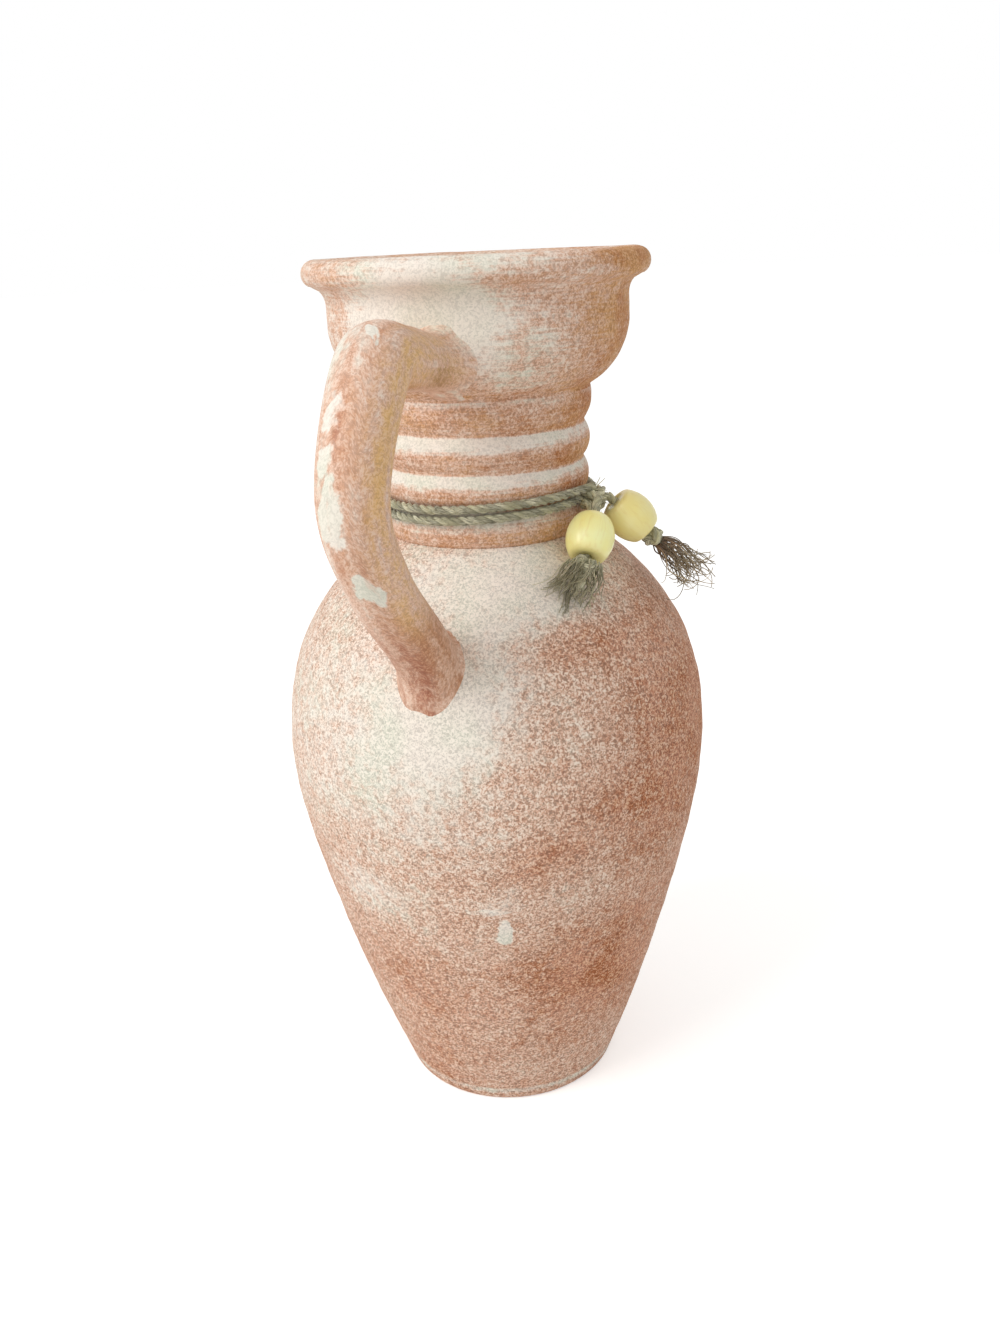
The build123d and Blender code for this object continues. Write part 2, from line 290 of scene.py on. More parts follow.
print("clay: widest %.1f mm, rim at %.1f mm" % (2 * skin_radii.max() / MM, RIM_Z / MM))

# %% [markdown]
# ## Lines of the cord
#
# A cord is a smooth line with a thickness. The line is a NURBS curve over a few control points, and its
# points are read back from the curve. The winding's control points come from a loop, sixteen a turn. A smooth
# curve cuts inside its control points, so they stand a little further out than the cord itself.

# %% Smooth lines
CURVE_STEPS = 12


def line_points(control, per_span=CURVE_STEPS):
    """Points along the smooth NURBS line over some control points."""
    curve = bpy.data.curves.new("cord_line", "CURVE")
    curve.dimensions = "3D"
    curve.resolution_u = per_span
    spline = curve.splines.new("NURBS")
    spline.points.add(len(control) - 1)
    for point, spot in zip(spline.points, control):
        point.co = (*spot, 1.0)
    spline.order_u = 3
    spline.use_endpoint_u = True
    carrier = bpy.data.objects.new("cord_line", curve)
    bpy.context.scene.collection.objects.link(carrier)
    mesh = bpy.data.meshes.new_from_object(carrier)
    points = np.array([vertex.co for vertex in mesh.vertices])
    bpy.data.objects.remove(carrier)
    bpy.data.curves.remove(curve)
    bpy.data.meshes.remove(mesh)
    return points


# %% Steps and ways along a line
UPRIGHT = 0.1


def run_of(points):
    """Distance along a line at each of its points."""
    return np.concatenate([[0.0], np.cumsum(np.linalg.norm(np.diff(points, axis=0), axis=1))])


def places_on(points, at):
    """The places at some distances along a line."""
    run = run_of(points)
    return np.stack([np.interp(at, run, points[:, axis]) for axis in range(3)], axis=-1)


def evenly_many(points, count):
    """The same line with so many points at even steps."""
    return places_on(points, np.linspace(0, run_of(points)[-1], count))


def evenly(points, step):
    """The same line with its points about a step apart."""
    return evenly_many(points, max(2, int(round(run_of(points)[-1] / step)) + 1))


def unit(ways):
    """The same way, or many ways, at length one."""
    return ways / np.linalg.norm(ways, axis=-1, keepdims=True)


def square_to(points):
    """The way ahead at each point of a line, and two ways square to it that turn as little as possible."""
    ahead = unit(np.gradient(points, axis=0))
    first = np.cross(ahead[0], (0, 0, 1))
    if np.linalg.norm(first) < UPRIGHT:
        first = np.cross(ahead[0], (1, 0, 0))
    sides = [unit(first)]
    for way in ahead[1:]:
        sides.append(unit(sides[-1] - way * sides[-1].dot(way)))
    sides = np.array(sides)
    return ahead, sides, np.cross(ahead, sides)


# %% The winding's line
CORD_D = 3.2 * MM
WINDING_R = 38.13 * MM
WINDING_Z = 237.1 * MM
TURN_STEP = 3.7 * MM
TIE_R = 41.13 * MM
TIE_Z = 237.8 * MM
TIE_ANGLE = math.radians(-8.0)
POINTS_A_TURN = 16
# The height at each quarter turn, in steps from one turn to the next.
QUARTERS = 4
TURN_HEIGHTS = (-0.5, -0.5, -0.5, -0.5, 0.25, 0.5, 0.5, 0.5, 1.25)
LEAVES_KNOT = 0.13

outward = np.array([math.cos(TIE_ANGLE), math.sin(TIE_ANGLE), 0.0])
along_neck = np.array([-outward[1], outward[0], 0.0])
tie_spot = outward * TIE_R + np.array([0.0, 0.0, TIE_Z])
# A curve of this order runs inside its control points, at about this share of their radius.
shrink = 0.75 + 0.25 * math.cos(2 * math.pi / POINTS_A_TURN)
turns = (len(TURN_HEIGHTS) - 1) / QUARTERS
control = []
for step in range(int(turns * POINTS_A_TURN) + 1):
    turned = step / POINTS_A_TURN
    from_end = min(turned, turns - turned)
    lifted = max(0.0, 1 - from_end / LEAVES_KNOT) ** 2
    radius = WINDING_R / shrink + (TIE_R - WINDING_R) * lifted
    height = WINDING_Z + TURN_STEP * np.interp(turned * QUARTERS, range(len(TURN_HEIGHTS)), TURN_HEIGHTS)
    angle = TIE_ANGLE + 2 * math.pi * turned
    control.append((radius * math.cos(angle), radius * math.sin(angle), height))
winding_line = line_points(control)
print("winding: %d control points, %.0f mm long" % (len(control), run_of(winding_line)[-1] / MM))

# %% [markdown]
# ## Twisted cord
#
# The real cord is jute: three plies twisted together, each a bundle of rough fibres. A smooth tube would look
# like wire. So each ply is a round tube that winds about the cord's line, and loose hairs stand off it. Every
# tube stores where it is along and round its ply, and the finish draws its fibres from that.

# %% Tubes
# Turn of the fibres in a ply, in radians a metre.
FIBRE_TWIST = 260.0


def ring_faces(index):
    """Faces between rows of rings, and one face that closes each end."""
    beside = np.roll(index, -1, axis=1)
    faces = np.stack([index[:-1], beside[:-1], beside[1:], index[1:]], axis=-1).reshape(-1, 4).tolist()
    return faces + [index[0, ::-1].tolist(), index[-1].tolist()]


def mesh_piece(name, spots, faces, stored):
    """A smooth mesh with values stored on its points, each one number or three numbers a point."""
    mesh = bpy.data.meshes.new(name)
    mesh.from_pydata(spots.reshape(-1, 3).tolist(), [], faces)
    for key, values in stored.items():
        kind, field = ("FLOAT_VECTOR", "vector") if values.ndim > 1 else ("FLOAT", "value")
        mesh.attributes.new(key, kind, "POINT").data.foreach_set(field, values.ravel())
    mesh.shade_smooth()
    piece = bpy.data.objects.new(name, mesh)
    bpy.context.scene.collection.objects.link(piece)
    return piece


def tube_mesh(name, tubes, sides):
    """One object of closed tubes. Each tube is its points, the radius at each and its shade from 0 to 1."""
    spots, faces, fibre, shade = [], [], [], []
    corner = np.linspace(0, 2 * math.pi, sides, endpoint=False)
    count = 0
    for points, radii, tone in tubes:
        _, left, up = square_to(points)
        ring = left[:, None] * np.cos(corner)[None, :, None] + up[:, None] * np.sin(corner)[None, :, None]
        spots.append((points[:, None] + radii[:, None, None] * ring).reshape(-1, 3))
        index = count + np.arange(len(points) * sides).reshape(len(points), sides)
        faces += ring_faces(index)
        run = run_of(points)
        twisted = corner[None, :] + FIBRE_TWIST * run[:, None]
        lengthwise = np.broadcast_to(run[:, None] / MM, twisted.shape)
        fibre.append(np.stack([np.cos(twisted), np.sin(twisted), lengthwise], axis=-1).reshape(-1, 3))
        shade.append(np.full(index.size, tone))
        count += index.size
    stored = {"fibre": np.concatenate(fibre), "shade": np.concatenate(shade)}
    return mesh_piece(name, np.concatenate(spots), faces, stored)


# %% Plies and hairs
PLIES = 3
PLY_LAY = 9.0 * MM
PLY_STEP = 0.7 * MM
PLY_SIDES = 8
PLY_TONE = 0.22
# A hair's radius in millimetres, where it starts as a share of the cord's thickness, and how it rises.
HAIR_THICK, HAIR_THIN = 0.07, 0.03
HAIR_ROOT, HAIR_RISE = 0.42, 0.6
HAIR_POINTS = 6
hair_draws = random.Random(7)


def plies_of(line, thickness=CORD_D, tone=0.0):
    """The plies of a cord along a line, each a little lighter than the one before."""
    points = evenly(line, PLY_STEP)
    _, left, up = square_to(points)
    run = run_of(points)
    made = []
    for ply in range(PLIES):
        turn = 2 * math.pi * (run / PLY_LAY + ply / PLIES)
        off = left * np.cos(turn)[:, None] + up * np.sin(turn)[:, None]
        radii = np.full(len(points), thickness / 4)
        made.append((points + off * thickness / 4, radii, tone + PLY_TONE * ply))
    return made


def hairs_on(line, count, reach):
    """Loose hairs that leave a cord at a low angle and curl away from it."""
    points = evenly(line, PLY_STEP)
    ahead, left, up = square_to(points)
    made = []
    for _ in range(count):
        at = hair_draws.randrange(2, len(points) - 2)
        turn = hair_draws.uniform(0, 2 * math.pi)
        out = left[at] * math.cos(turn) + up[at] * math.sin(turn)
        way = ahead[at] * hair_draws.choice((-1, 1))
        far = reach * hair_draws.uniform(0.4, 1.0)
        bow = np.cross(out, way) * hair_draws.uniform(-0.5, 0.5)
        share = np.linspace(0, 1, HAIR_POINTS)[:, None]
        root = points[at] + out * CORD_D * HAIR_ROOT
        path = root + far * (way * share + (out * HAIR_RISE + bow) * share**2)
        made.append((path, np.linspace(HAIR_THICK, HAIR_THIN, HAIR_POINTS) * MM, hair_draws.random()))
    return made


# %% [markdown]
# ## Jute finish
#
# Jute is a bast fibre: dull, stiff, between straw and grey-green, darker where plies touch and dirt gathers.
# Its fibres run along each ply with a slight twist. Real fibres are about 0.05 mm wide, too fine to show
# here, so they are drawn about five times as coarse. It has no gloss, only a little sheen from the loose
# hairs. Where a frayed fibre starts it has a tone of its own, because dirt and dye reach it differently.

# %% Jute finish
# Round and along a ply, these draw streaks about 0.2 mm wide and 3 mm long.
FIBRE_DRAWN = (2.6, 2.6, 0.22)
FIBRE_NOISE = 1.6
TUBE_SHIFT = (37.0, 19.0, 23.0)
BLOTCH = 6 * MM
FIBRE_DEPTH = 0.25 * MM
SHADE_DARK, SHADE_LIGHT = 0.62, 1.5


def jute_finish(name, light, middle, dark, root, root_length):
    """Twisted jute in three tones, from the fibre and shade on the tubes, and the tone of a fibre's root."""
    finish, tree = new_finish(name)
    fibre = add(tree, "Attribute", output="Vector", attribute_name="fibre")
    shade = add(tree, "Attribute", output="Fac", attribute_name="shade")
    drawn = add(tree, "VectorMath", {0: fibre, 1: FIBRE_DRAWN}, operation="MULTIPLY")
    moved = add(tree, "CombineXYZ", {"X": shade, "Y": shade, "Z": shade})
    moved = add(tree, "VectorMath", {0: moved, 1: TUBE_SHIFT, 2: drawn}, operation="MULTIPLY_ADD")
    streak = add(tree, "TexNoise", {"Vector": moved, "Scale": FIBRE_NOISE, "Detail": 3.0, "Roughness": 0.6})
    split = add(tree, "MapRange", {"Value": streak, **span(0.36, 0.62)})
    coords = add(tree, "TexCoord", output="Object")
    dull = cloudy(tree, coords, BLOTCH, span(0.4, 0.65, 0.0, 0.7), Detail=2.0)
    along = add(tree, "SeparateXYZ", {"Vector": fibre}, output="Z")
    start = add(tree, "MapRange", {"Value": along, **span(0.0, root_length, 0.7, 0.0)})
    tint = layered(tree, dark, (split, light), (dull, middle), (start, root))
    own = add(tree, "MapRange", {"Value": shade, **span(0.0, 1.0, SHADE_DARK, SHADE_LIGHT)})
    shaded = {MIX_BY: 1.0, MIX_A: tint, MIX_B: own}
    tint = add(tree, "Mix", shaded, MIX_OUT, data_type="RGBA", blend_type="MULTIPLY")
    bump = add(tree, "Bump", {"Strength": 0.7, "Distance": FIBRE_DEPTH, "Height": streak})
    look = {"Base Color": tint, "Roughness": 0.85, "Normal": bump, "Sheen Weight": 0.15}
    add(tree, "OutputMaterial", {"Surface": add(tree, "BsdfPrincipled", look)})
    return finish


cord_jute = jute_finish("olive_jute_twine", "#EDE9CA", "#B0AC88", "#4A4530", "#B0AC88", 3.0)
front_jute = jute_finish("olive_frayed_jute", "#E0D9B4", "#9E9470", "#554A33", "#D6D6B6", 4.0)
side_jute = jute_finish("brown_frayed_jute", "#DCCCA8", "#A88F6C", "#644E37", "#80583F", 12.0)
print("jute:", [finish.name for finish in (cord_jute, front_jute, side_jute)])

# %% Neck cord
NECK_HAIRS, NECK_HAIR = 220, 5 * MM


def dress(piece, finish, body, node):
    """Gives a piece its finish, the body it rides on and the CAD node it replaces."""
    piece.data.materials.clear()
    piece.data.materials.append(finish)
    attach(piece, body)
    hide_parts(node)


neck_tubes = plies_of(winding_line) + hairs_on(winding_line, NECK_HAIRS, NECK_HAIR)
neck_rope = tube_mesh("neck_rope", neck_tubes, PLY_SIDES)
dress(neck_rope, cord_jute, "cord_tie", "neck_cord")
print("neck rope:", len(neck_rope.data.polygons), "faces")

# %% [markdown]
# ## Knots
#
# The tie and the two stoppers are overhand knots, pulled tight. The line of an overhand knot is a trefoil, a
# closed curve with three crossings, and a formula draws it. Twisted plies along that line give the lumpy ball
# that the photograph shows. Two arches of cord go over the tie and down behind the beads, and a few
# stray fibres stand up from it. The arches are painted pale as painted light, and the knot under them is kept
# dark as painted shade. Short stubs carry the cord from the tie to where each tail hangs.

# %% The line of a knot
KNOT_POINTS = 160


def overhand_line(centre, axis, side, width, height):
    """The line of a tight overhand knot round an axis."""
    across = np.cross(axis, side)
    turn = np.linspace(0, 2 * math.pi, KNOT_POINTS)
    # The flat trefoil reaches three units from its middle.
    wide = (width - CORD_D) / 2 / 3
    tall = (height - CORD_D) / 2
    flat = np.outer(np.sin(turn) + 2 * np.sin(2 * turn), side)
    flat = flat + np.outer(np.cos(turn) - 2 * np.cos(2 * turn), across)
    return centre + wide * flat - tall * np.outer(np.sin(3 * turn), axis)


# %% Tie knot
TIE_W, TIE_H = 10.0 * MM, 9.6 * MM
# The tie knot's low tone is painted shade under the arches, and the arches' high tone is painted light.
TIE_TONE_PAINTED_SHADE, ARCH_TONE_PAINTED_LIGHT, STRAY_TONE, TAIL_TONE = 0.3, 1.0, 0.9, 0.2
# An arch is its thickness and its places near the tie, in millimetres to the back, outward and up.
ARCHES = (
    (3.3, ((-1.0, -2.6, 2.6), (-2.2, 1.2, 1.6), (-2.4, 3.0, -1.4), (-2.4, 1.8, -4.6), (-2.0, -0.4, -6.6))),
    (2.8, ((-2.4, -2.6, -1.4), (-3.6, -0.4, -0.8), (-3.8, 1.0, -2.8), (-3.6, 0.2, -5.6))),
)
STRAYS = (
    ((-1.0, 0.6, 2.6), (-1.0, 2.4, 4.4), (-1.0, 5.2, 7.0)),
    ((-1.0, 0.8, 2.4), (-1.0, 3.4, 3.6), (-1.0, 5.8, 2.6)),
    ((-1.0, 0.4, 2.6), (-1.0, 2.6, 5.4), (-1.0, 3.4, 7.4)),
)
STRAY_STEPS = 8
STRAY_THICK, STRAY_THIN = 0.22, 0.1
STUB_BOW, STUB_PAST = 0.8 * MM, 0.6 * MM
STUB_HAIRS, STUB_HAIR = 14, 6 * MM
joints = {joint["name"]: joint for joint in frame["joints"]}


def from_tie(back, out, up):
    """A place near the middle of the tie."""
    return tie_spot + (along_neck * back + outward * out + np.array([0, 0, up])) * MM


def tail_start(name):
    """Where a tail leaves the tie, and the way in which it hangs."""
    joint = joints[name + "_bead_spin"]
    return np.array(joint["pos_m"]), np.array(joint["axis"])


# The knot is kept dark as painted shade, and the arches over it are painted pale as painted light.
tie_tubes = plies_of(overhand_line(tie_spot, outward, along_neck, TIE_W, TIE_H), tone=TIE_TONE_PAINTED_SHADE)
for thickness, spots in ARCHES:
    arch = line_points([from_tie(*spot) for spot in spots])
    tie_tubes += plies_of(arch, thickness=thickness * MM, tone=ARCH_TONE_PAINTED_LIGHT)
for spots in STRAYS:
    path = line_points([from_tie(*spot) for spot in spots], STRAY_STEPS)
    tie_tubes.append((path, np.linspace(STRAY_THICK, STRAY_THIN, len(path)) * MM, STRAY_TONE))
for name in ("front", "side"):
    root, way = tail_start(name)
    stub = line_points([tie_spot, (tie_spot + root) / 2 + outward * STUB_BOW, root + way * STUB_PAST])
    tie_tubes += plies_of(stub, tone=TAIL_TONE)
    tie_tubes += hairs_on(stub, STUB_HAIRS, STUB_HAIR)
tie = tube_mesh("tie", tie_tubes, PLY_SIDES)
dress(tie, cord_jute, "cord_tie", "tie_knot")
print("tie: an overhand knot with two arches and two stubs,", len(tie.data.polygons), "faces")

# %% [markdown]
# ## Tails, beads and frayed ends
#
# Each tail leaves the tie, goes through its bead, is knotted below it and ends in loose fibres. Where each
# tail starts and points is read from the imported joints. The beads are barrels of pale wood under a yellow
# lacquer, made by spinning half of their outline, with a bore for the cord.

# %% A turned shape from its outline
WELD = 0.005 * MM


def turned_shape(name, outline, sides):
    """Extrudes a point along an outline of radius and height, and spins it round the Z axis."""
    bpy.ops.object.select_all(action="DESELECT")
    bpy.ops.mesh.primitive_plane_add(size=2 * MM)
    shape = bpy.context.object
    shape.name = name
    shape.data.name = name
    bpy.ops.object.mode_set(mode="EDIT")
    bpy.ops.mesh.select_all(action="SELECT")
    bpy.ops.mesh.merge(type="CENTER")
    bpy.ops.transform.translate(value=(outline[0][0], 0, outline[0][1]))
    for (r0, z0), (r1, z1) in zip(outline, outline[1:]):
        bpy.ops.mesh.extrude_region_move(TRANSFORM_OT_translate={"value": (r1 - r0, 0, z1 - z0)})
    bpy.ops.mesh.select_all(action="SELECT")
    bpy.ops.mesh.spin(steps=sides, angle=2 * math.pi, center=(0, 0, 0), axis=(0, 0, 1))
    bpy.ops.mesh.select_all(action="SELECT")
    bpy.ops.mesh.remove_doubles(threshold=WELD)
    bpy.ops.mesh.normals_make_consistent(inside=False)
    bpy.ops.object.mode_set(mode="OBJECT")
    bpy.ops.object.shade_smooth()
    return shape


# %% Lacquered bead finish
# These draw a grain about 1.2 mm wide and 9 mm long, coarser than real grain, so that it shows.
BEAD_GRAIN = (0.7, 0.7, 0.09)
BEAD_NOISE = 1.2
BEAD_CLOUD = 25 / 3
END_FROM, END_TO = 5.4, 8.4
GRAIN_DEPTH = 0.1 * MM


def bead_finish():
    """Pale turned wood under a thin yellow lacquer: soft gloss, faint grain along it, tan at the ends."""
    finish, tree = new_finish("yellow_lacquered_wood")
    spot = add(tree, "Attribute", output="Vector", attribute_name="bead_spot")
    drawn = add(tree, "VectorMath", {0: spot, 1: BEAD_GRAIN}, operation="MULTIPLY")
    grain = add(tree, "TexNoise", {"Vector": drawn, "Scale": BEAD_NOISE, "Detail": 4.0, "Distortion": 0.4})
    pale = cloudy(tree, spot, BEAD_CLOUD, span(0.35, 0.7), Detail=2.0)
    fine = add(tree, "MapRange", {"Value": grain, **span(0.52, 0.72, 0.0, 0.4)})
    height = add(tree, "SeparateXYZ", {"Vector": spot}, output="Z")
    off = add(tree, "Math", {0: height}, operation="ABSOLUTE")
    ends = add(tree, "MapRange", {"Value": off, **span(END_FROM, END_TO, 0.0, 0.4)}, **SMOOTH)
    skin = layered(tree, "#FFF79E", (pale, "#FFFEB8"), (fine, "#F0DA88"), (ends, "#E4C87C"))
    bump = add(tree, "Bump", {"Strength": 0.25, "Distance": GRAIN_DEPTH, "Height": grain})
    lacquer = {"Roughness": 0.38, "Coat Weight": 0.5, "Coat Roughness": 0.22}
    wood = add(tree, "BsdfPrincipled", {"Base Color": skin, "Normal": bump, **lacquer})
    add(tree, "OutputMaterial", {"Surface": wood})
    return finish


bead_wood = bead_finish()
print("beads:", bead_wood.name)

# %% Barrel bead
BEAD_D, BEAD_L, BEAD_END_D, BEAD_BORE = 16.6 * MM, 15.6 * MM, 11.4 * MM, 3.8 * MM
BEAD_EDGE = 0.8 * MM
BEAD_POINTS, BEAD_SIDES = 41, 64


def bead_outline():
    """Half of a barrel bead's outline, from bore to bore, with rounded ends."""
    bulge = (BEAD_D - BEAD_END_D) / 2
    arc_r = (bulge**2 + BEAD_L**2 / 4) / (2 * bulge)
    outline = [(BEAD_BORE / 2, -BEAD_L / 2)]
    for share in np.linspace(-1, 1, BEAD_POINTS):
        z = share * BEAD_L / 2
        r = BEAD_D / 2 - arc_r + math.sqrt(arc_r**2 - z**2)
        in_edge = max(0.0, abs(z) - (BEAD_L / 2 - BEAD_EDGE))
        outline.append((r - (BEAD_EDGE - math.sqrt(max(0.0, BEAD_EDGE**2 - in_edge**2))), z))
    outline.append((BEAD_BORE / 2, BEAD_L / 2))
    outline.append(outline[0])
    return outline


def barrel_bead(name, centre, way, level, grain_shift):
    """A bead round a place on its tail, with its own part of the wood's grain."""
    bead = turned_shape(name, bead_outline(), BEAD_SIDES)
    spots = np.array([vertex.co for vertex in bead.data.vertices]) / MM
    stored = bead.data.attributes.new("bead_spot", "FLOAT_VECTOR", "POINT")
    stored.data.foreach_set("vector", spots.ravel() + grain_shift)
    turn = Matrix((level, np.cross(way, level), way)).transposed().to_4x4()
    bead.data.transform(Matrix.Translation(centre) @ turn)
    return bead


# %% [markdown]
# ## Fray
#
# Where a cord is cut, its fibres spring apart. A straight brush of them would look like a broom. So each
# fibre is walked step by step: its heading leans out of the bundle, waves, sways with its neighbours and
# hooks over near its tip. A fibre that would sink into the clay is moved out to its skin.

# %% Frayed fibres
SKIN_ROOM = 0.5 * MM
HAIR_SIDES = 3
FIBRE_POINTS = 20
FIBRE_R = (0.16, 0.32)
FIBRE_TAPER = 0.4
HOOK_FROM = 0.45
GOLDEN_TURN = math.pi * (3 - math.sqrt(5))


def rest_on_clay(points):
    """Moves the points of a fibre that would sink into the clay out to its skin."""
    reach = np.linalg.norm(points[:, :2], axis=1)
    least = clay_radius(points[:, 2]) + SKIN_ROOM
    return points * np.stack([np.maximum(1, least / reach)] * 2 + [np.ones_like(reach)], axis=1)


def frayed_fibres(tail, start, way, level):
    """Fibres that leave the tuft at the end of a tail: each leans out, waves and hooks over at its tip."""
    draws = random.Random(tail["seed"])
    lift = np.cross(way, level)
    share = np.linspace(0, 1, FIBRE_POINTS)
    late = np.maximum(0.0, share - HOOK_FROM) / (1 - HOOK_FROM)
    made = []
    for fibre in range(tail["fibres"]):
        turn = fibre * GOLDEN_TURN
        out = math.sqrt((fibre + 0.5) / tail["fibres"])
        x, y = out * math.cos(turn), out * math.sin(turn) * tail["flat"]
        hook = draws.uniform(-tail["hook"], tail["hook"]) * late**1.5
        side = draws.uniform(0, 2 * math.pi)
        leans = []
        for off, part in ((x, math.cos(side)), (y, math.sin(side))):
            wave = np.sin(2 * math.pi * (draws.uniform(0.8, 2.2) * share + draws.random()))
            wave = tail["wave"] * draws.uniform(0.3, 1.0) * wave
            leans.append(tail["fan"] * off + np.sin(hook) * part + wave)
        heading = np.outer(np.cos(hook), way) + np.outer(leans[0], level) + np.outer(leans[1], lift)
        heading = unit(heading + np.outer(share * draws.uniform(0.0, 2.0), tail["sway"]))
        reach = tail["length"] * draws.uniform(0.55, 1.0)
        path = start + tail["tuft"] * (x * level + y * lift)
        path = path + np.cumsum(heading, axis=0) * reach / FIBRE_POINTS
        thick = draws.uniform(*FIBRE_R) * MM
        made.append((rest_on_clay(path), thick * (1 - FIBRE_TAPER * share), draws.random() ** 1.4))
    return made


# %% The two tails
KNOT_W, KNOT_L = 8.6 * MM, 6.4 * MM
KNOT_TONE = 0.3
BELOW_BEAD = 0.3 * MM
FRAYED_END = 6.0 * MM
TAIL_HAIRS, TAIL_HAIR = 20, 4 * MM
TAIL_SHARES = (0, 0.2, 0.45, 0.75, 1)
TAILS = {
    "front": {
        "step": 8.6 * MM, "roll": -10.0, "grain": 0, "jute": front_jute,
        "fray_at": 1.6 * MM, "tuft": 6.4 * MM, "flat": 0.6, "length": 19.0 * MM, "fan": 0.3, "wave": 0.45,
        "hook": 1.8, "sway": (-0.65, -0.1, -0.2), "seed": 11, "fibres": 84,
    },
    "side": {
        "step": 3.6 * MM, "roll": 12.0, "grain": 40, "jute": side_jute,
        "fray_at": 5.0 * MM, "tuft": 3.0 * MM, "flat": 0.7, "length": 31.0 * MM, "fan": 0.4, "wave": 0.6,
        "hook": 2.6, "sway": (0.05, 0.0, 0.0), "seed": 12, "fibres": 76,
    },
}

for name, tail in TAILS.items():
    root, way = tail_start(name)
    way = unit(way)
    level = unit(np.cross((0, 0, 1), way))
    roll = math.radians(tail["roll"])
    level = level * math.cos(roll) + np.cross(way, level) * math.sin(roll)
    bead_at = tail["step"] + BEAD_L / 2
    knot_at = tail["step"] + BEAD_L + BELOW_BEAD
    cord_end = knot_at + KNOT_L + FRAYED_END

    bead = barrel_bead(name + "_barrel_bead", root + way * bead_at, way, level, tail["grain"])
    dress(bead, bead_wood, name + "_bead", name + "_bead")

    knot_line = overhand_line(root + way * (knot_at + KNOT_L / 2), way, level, KNOT_W, KNOT_L)
    knot = tube_mesh(name + "_stopper", plies_of(knot_line, tone=KNOT_TONE), PLY_SIDES)
    dress(knot, cord_jute, name + "_tail", name + "_end_knot")

    fray_start = root + way * (knot_at + tail["fray_at"])
    fray = tube_mesh(name + "_fray", frayed_fibres(tail, fray_start, way, level), HAIR_SIDES)
    dress(fray, tail["jute"], name + "_tail", name + "_tassel")

    tail_line = line_points([root + way * cord_end * share for share in TAIL_SHARES])
    tail_tubes = plies_of(tail_line, tone=TAIL_TONE) + hairs_on(tail_line, TAIL_HAIRS, TAIL_HAIR)
    rope = tube_mesh(name + "_rope", tail_tubes, PLY_SIDES)
    dress(rope, cord_jute, name + "_tail", name + "_tail")
    print(name, "tail: %.1f mm of cord, bead, stopper and %d fibres" % (cord_end / MM, tail["fibres"]))

# %% [markdown]
# ## Body and neck
#
# The body and the neck were thrown on a wheel, so each is a turned shape. Their outlines are felt on the
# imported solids, outside and inside, and spun. A wheel leaves faint rings and the hand leaves a slight
# unevenness. The rings are in the outline, and a Displace modifier with a cloud texture adds the rest, faded
# out where the pieces meet.

# %% Body
BODY_SIDES = 224
BODY_STEP = 2.0 * MM
BODY_FROM = 8.2 * MM
INNER_STEPS = 44
BASE_EDGE = 0.4 * MM
BASE_HEIGHTS = (0.15, 0.5, 1.0, 1.6, 2.4, 3.4)
SCORED = ((4.6 * MM, 0.45 * MM), (6.6 * MM, 0.3 * MM))
SCORE_W = 0.5 * MM
RING_DEPTH = 0.12 * MM
FADE_TOP, FADE_FOOT = 8 * MM, 12 * MM


def thrown_ripple(height):
    """The faint rings that the potter's fingers leave: two waves, a fine and a wider one."""
    return RING_DEPTH * (math.sin(height / (1.15 * MM)) * 0.4 + math.sin(height / (2.9 * MM) + 1.3) * 0.6)


def body_outline():
    """The body from the middle of its base, up its outside, over the seam and down its inside."""
    heights = [height * MM for height in BASE_HEIGHTS]
    for z, depth in SCORED:
        heights += [z - SCORE_W, z, z + SCORE_W]
    heights += list(np.arange(BODY_FROM, SEAM_Z - BODY_STEP / 2, BODY_STEP))
    outline = [(0.0, 0.0), (felt_radius(body_tree, EDGE) - BASE_EDGE, 0.0)]
    for z in heights:
        scored = sum(depth for at, depth in SCORED if abs(z - at) < EDGE)
        fade = min(1.0, (SEAM_Z - z) / FADE_TOP, z / FADE_FOOT)
        outline.append((felt_radius(body_tree, z) + thrown_ripple(z) * fade - scored, z))
    outline.append((felt_radius(body_tree, SEAM_Z - EDGE), SEAM_Z))
    floor_z = body_tree.ray_cast(Vector((0, 0, SEAM_Z)), Vector((0, 0, -1)))[0].z
    for z in np.linspace(SEAM_Z - EDGE, floor_z + EDGE, INNER_STEPS):
        outline.append((felt_radius(body_tree, z, inside=True), z))
    return outline + [(0.0, floor_z)]


jug_body = turned_shape("jug_body", body_outline(), BODY_SIDES)
print("body:", len(jug_body.data.polygons), "faces")

# %% Neck and mouth
NECK_SIDES = 208
NECK_STEP = 0.8 * MM
NECK_FADE = 4 * MM
NECK_RINGS = 1.3
NECK_RING_SHARE = 0.6
LIP_CENTRE = Vector((53.4 * MM, 0, 314.8 * MM))
LIP_FROM = 310.2 * MM
LIP_TURNS = np.linspace(math.radians(-50), math.radians(88), 26)
LIP_OUTSIDE = 30 * MM
UNDER_RIM = 0.8 * MM
THROAT_STEPS = 70


def felt_lip(turn):
    """The lip's skin in the direction of an angle round the middle of the roll."""
    way = Vector((math.cos(turn), 0, math.sin(turn)))
    spot = neck_tree.ray_cast(LIP_CENTRE + way * LIP_OUTSIDE, -way)[0]
    return (spot.to_2d().length, spot.z)


